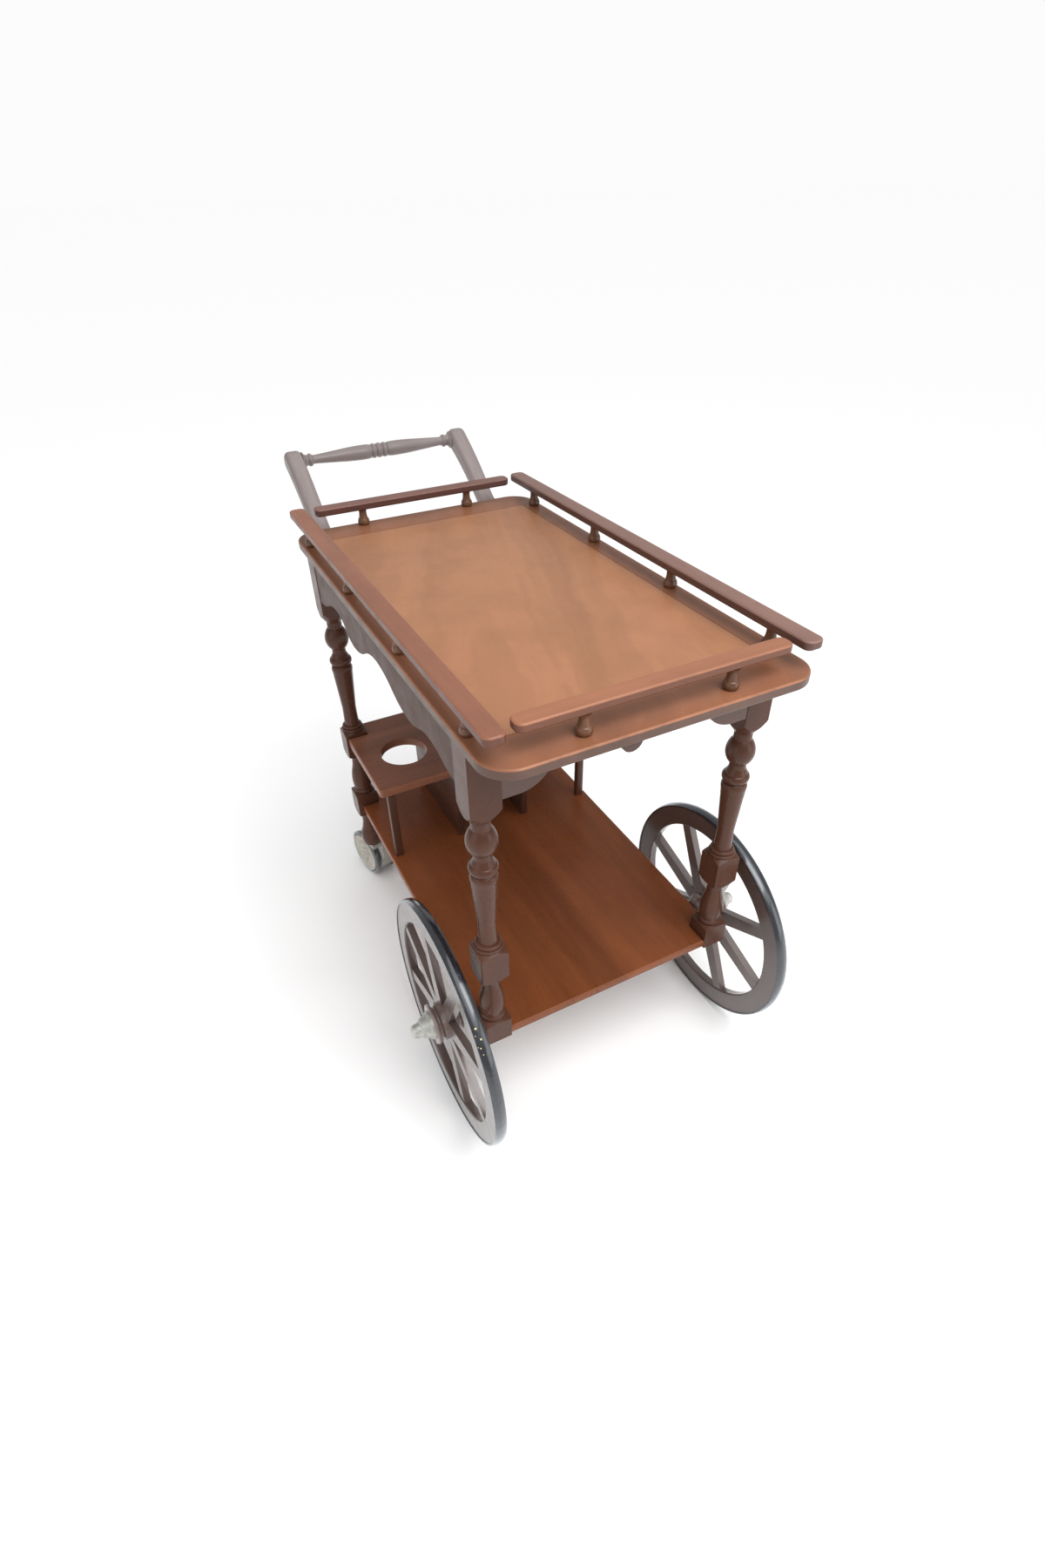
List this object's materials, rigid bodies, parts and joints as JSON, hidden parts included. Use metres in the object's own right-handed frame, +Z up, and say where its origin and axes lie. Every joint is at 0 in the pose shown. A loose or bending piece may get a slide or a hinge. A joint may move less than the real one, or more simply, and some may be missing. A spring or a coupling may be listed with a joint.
{
  "type": "serving trolley",
  "caption": "Wooden serving trolley with a galleried top, a lower shelf with a bottle holder, large spoked wheels at one end, small casters at the other and a turned push handle.",
  "frame": {"origin": "on the floor, under the middle of the trolley's overall length and width", "axes": "+Z up, +Y from the big wheels towards the handle, +X to the right when seen from the big-wheel end"},
  "size_m": [0.592, 0.9846, 0.818],
  "materials": {
    "top_wood": "worn satin varnish on reddish brown wood",
    "shelf_wood": "satin dark red-brown varnish",
    "frame_wood": "semi-gloss dark brown varnish",
    "rail_wood": "semi-gloss brown varnish",
    "wheel_wood": "semi-gloss dark brown varnish",
    "tyre": "smooth black rubber",
    "steel": "plain turned steel",
    "caster_face": "dull beige-grey metal",
    "caster_grey": "dark grey enamel"
  },
  "bodies": {
    "frame": {"apron_far": "frame_wood", "apron_left": "frame_wood", "apron_near": "frame_wood", "apron_right": "frame_wood", "arm_screws": "steel", "axle_beam": "frame_wood", "axle_nuts": "steel", "axle_rod": "steel", "axle_washers": "steel", "caster_socket_left": "steel", "caster_socket_right": "steel", "glue_blocks": "frame_wood", "handle_arm_left": "frame_wood", "handle_arm_right": "frame_wood", "handle_grip": "frame_wood", "leg_far_left": "frame_wood", "leg_far_right": "frame_wood", "leg_near_left": "frame_wood", "leg_near_right": "frame_wood", "lower_shelf": "shelf_wood", "rack_board": "shelf_wood", "rack_divider_left": "shelf_wood", "rack_divider_right": "shelf_wood", "rack_post_left": "shelf_wood", "rack_post_right": "shelf_wood", "rail_far": "rail_wood", "rail_left": "rail_wood", "rail_near": "rail_wood", "rail_right": "rail_wood", "spindles_far": "rail_wood", "spindles_left": "rail_wood", "spindles_near": "rail_wood", "spindles_right": "rail_wood", "top_board": "top_wood"},
    "wheel_left": {"hub_cap_left": "steel", "hub_left": "wheel_wood", "spokes_left": "wheel_wood", "tyre_left": "tyre", "wheel_rim_left": "wheel_wood"},
    "wheel_right": {"hub_cap_right": "steel", "hub_right": "wheel_wood", "spokes_right": "wheel_wood", "tyre_right": "tyre", "wheel_rim_right": "wheel_wood"},
    "caster_left": {"caster_hood_left": "caster_grey", "caster_stem_left": "steel"},
    "caster_right": {"caster_hood_right": "caster_grey", "caster_stem_right": "steel"},
    "discs_left": {"caster_disc_left_inner": "caster_face", "caster_disc_left_outer": "caster_face", "caster_pin_left": "steel"},
    "discs_right": {"caster_disc_right_inner": "caster_face", "caster_disc_right_outer": "caster_face", "caster_pin_right": "steel"}
  },
  "joints": [
    {"name": "left_wheel_spin", "type": "hinge", "parent": "frame", "child": "wheel_left", "pos_m": [-0.2405, -0.3023, 0.19], "axis": [1, 0, 0], "continuous": true},
    {"name": "right_wheel_spin", "type": "hinge", "parent": "frame", "child": "wheel_right", "pos_m": [0.2405, -0.3023, 0.19], "axis": [1, 0, 0], "continuous": true},
    {"name": "left_caster_swivel", "type": "hinge", "parent": "frame", "child": "caster_left", "pos_m": [-0.191, 0.2227, 0.1155], "axis": [0, 0, 1], "continuous": true},
    {"name": "left_caster_roll", "type": "hinge", "parent": "caster_left", "child": "discs_left", "pos_m": [-0.17673, 0.27423, 0.05], "axis": [-0.9744, -0.225, 0], "continuous": true},
    {"name": "right_caster_swivel", "type": "hinge", "parent": "frame", "child": "caster_right", "pos_m": [0.191, 0.2227, 0.1155], "axis": [0, 0, 1], "continuous": true},
    {"name": "right_caster_roll", "type": "hinge", "parent": "caster_right", "child": "discs_right", "pos_m": [0.20527, 0.27423, 0.05], "axis": [-0.9744, -0.225, 0], "continuous": true}
  ]
}
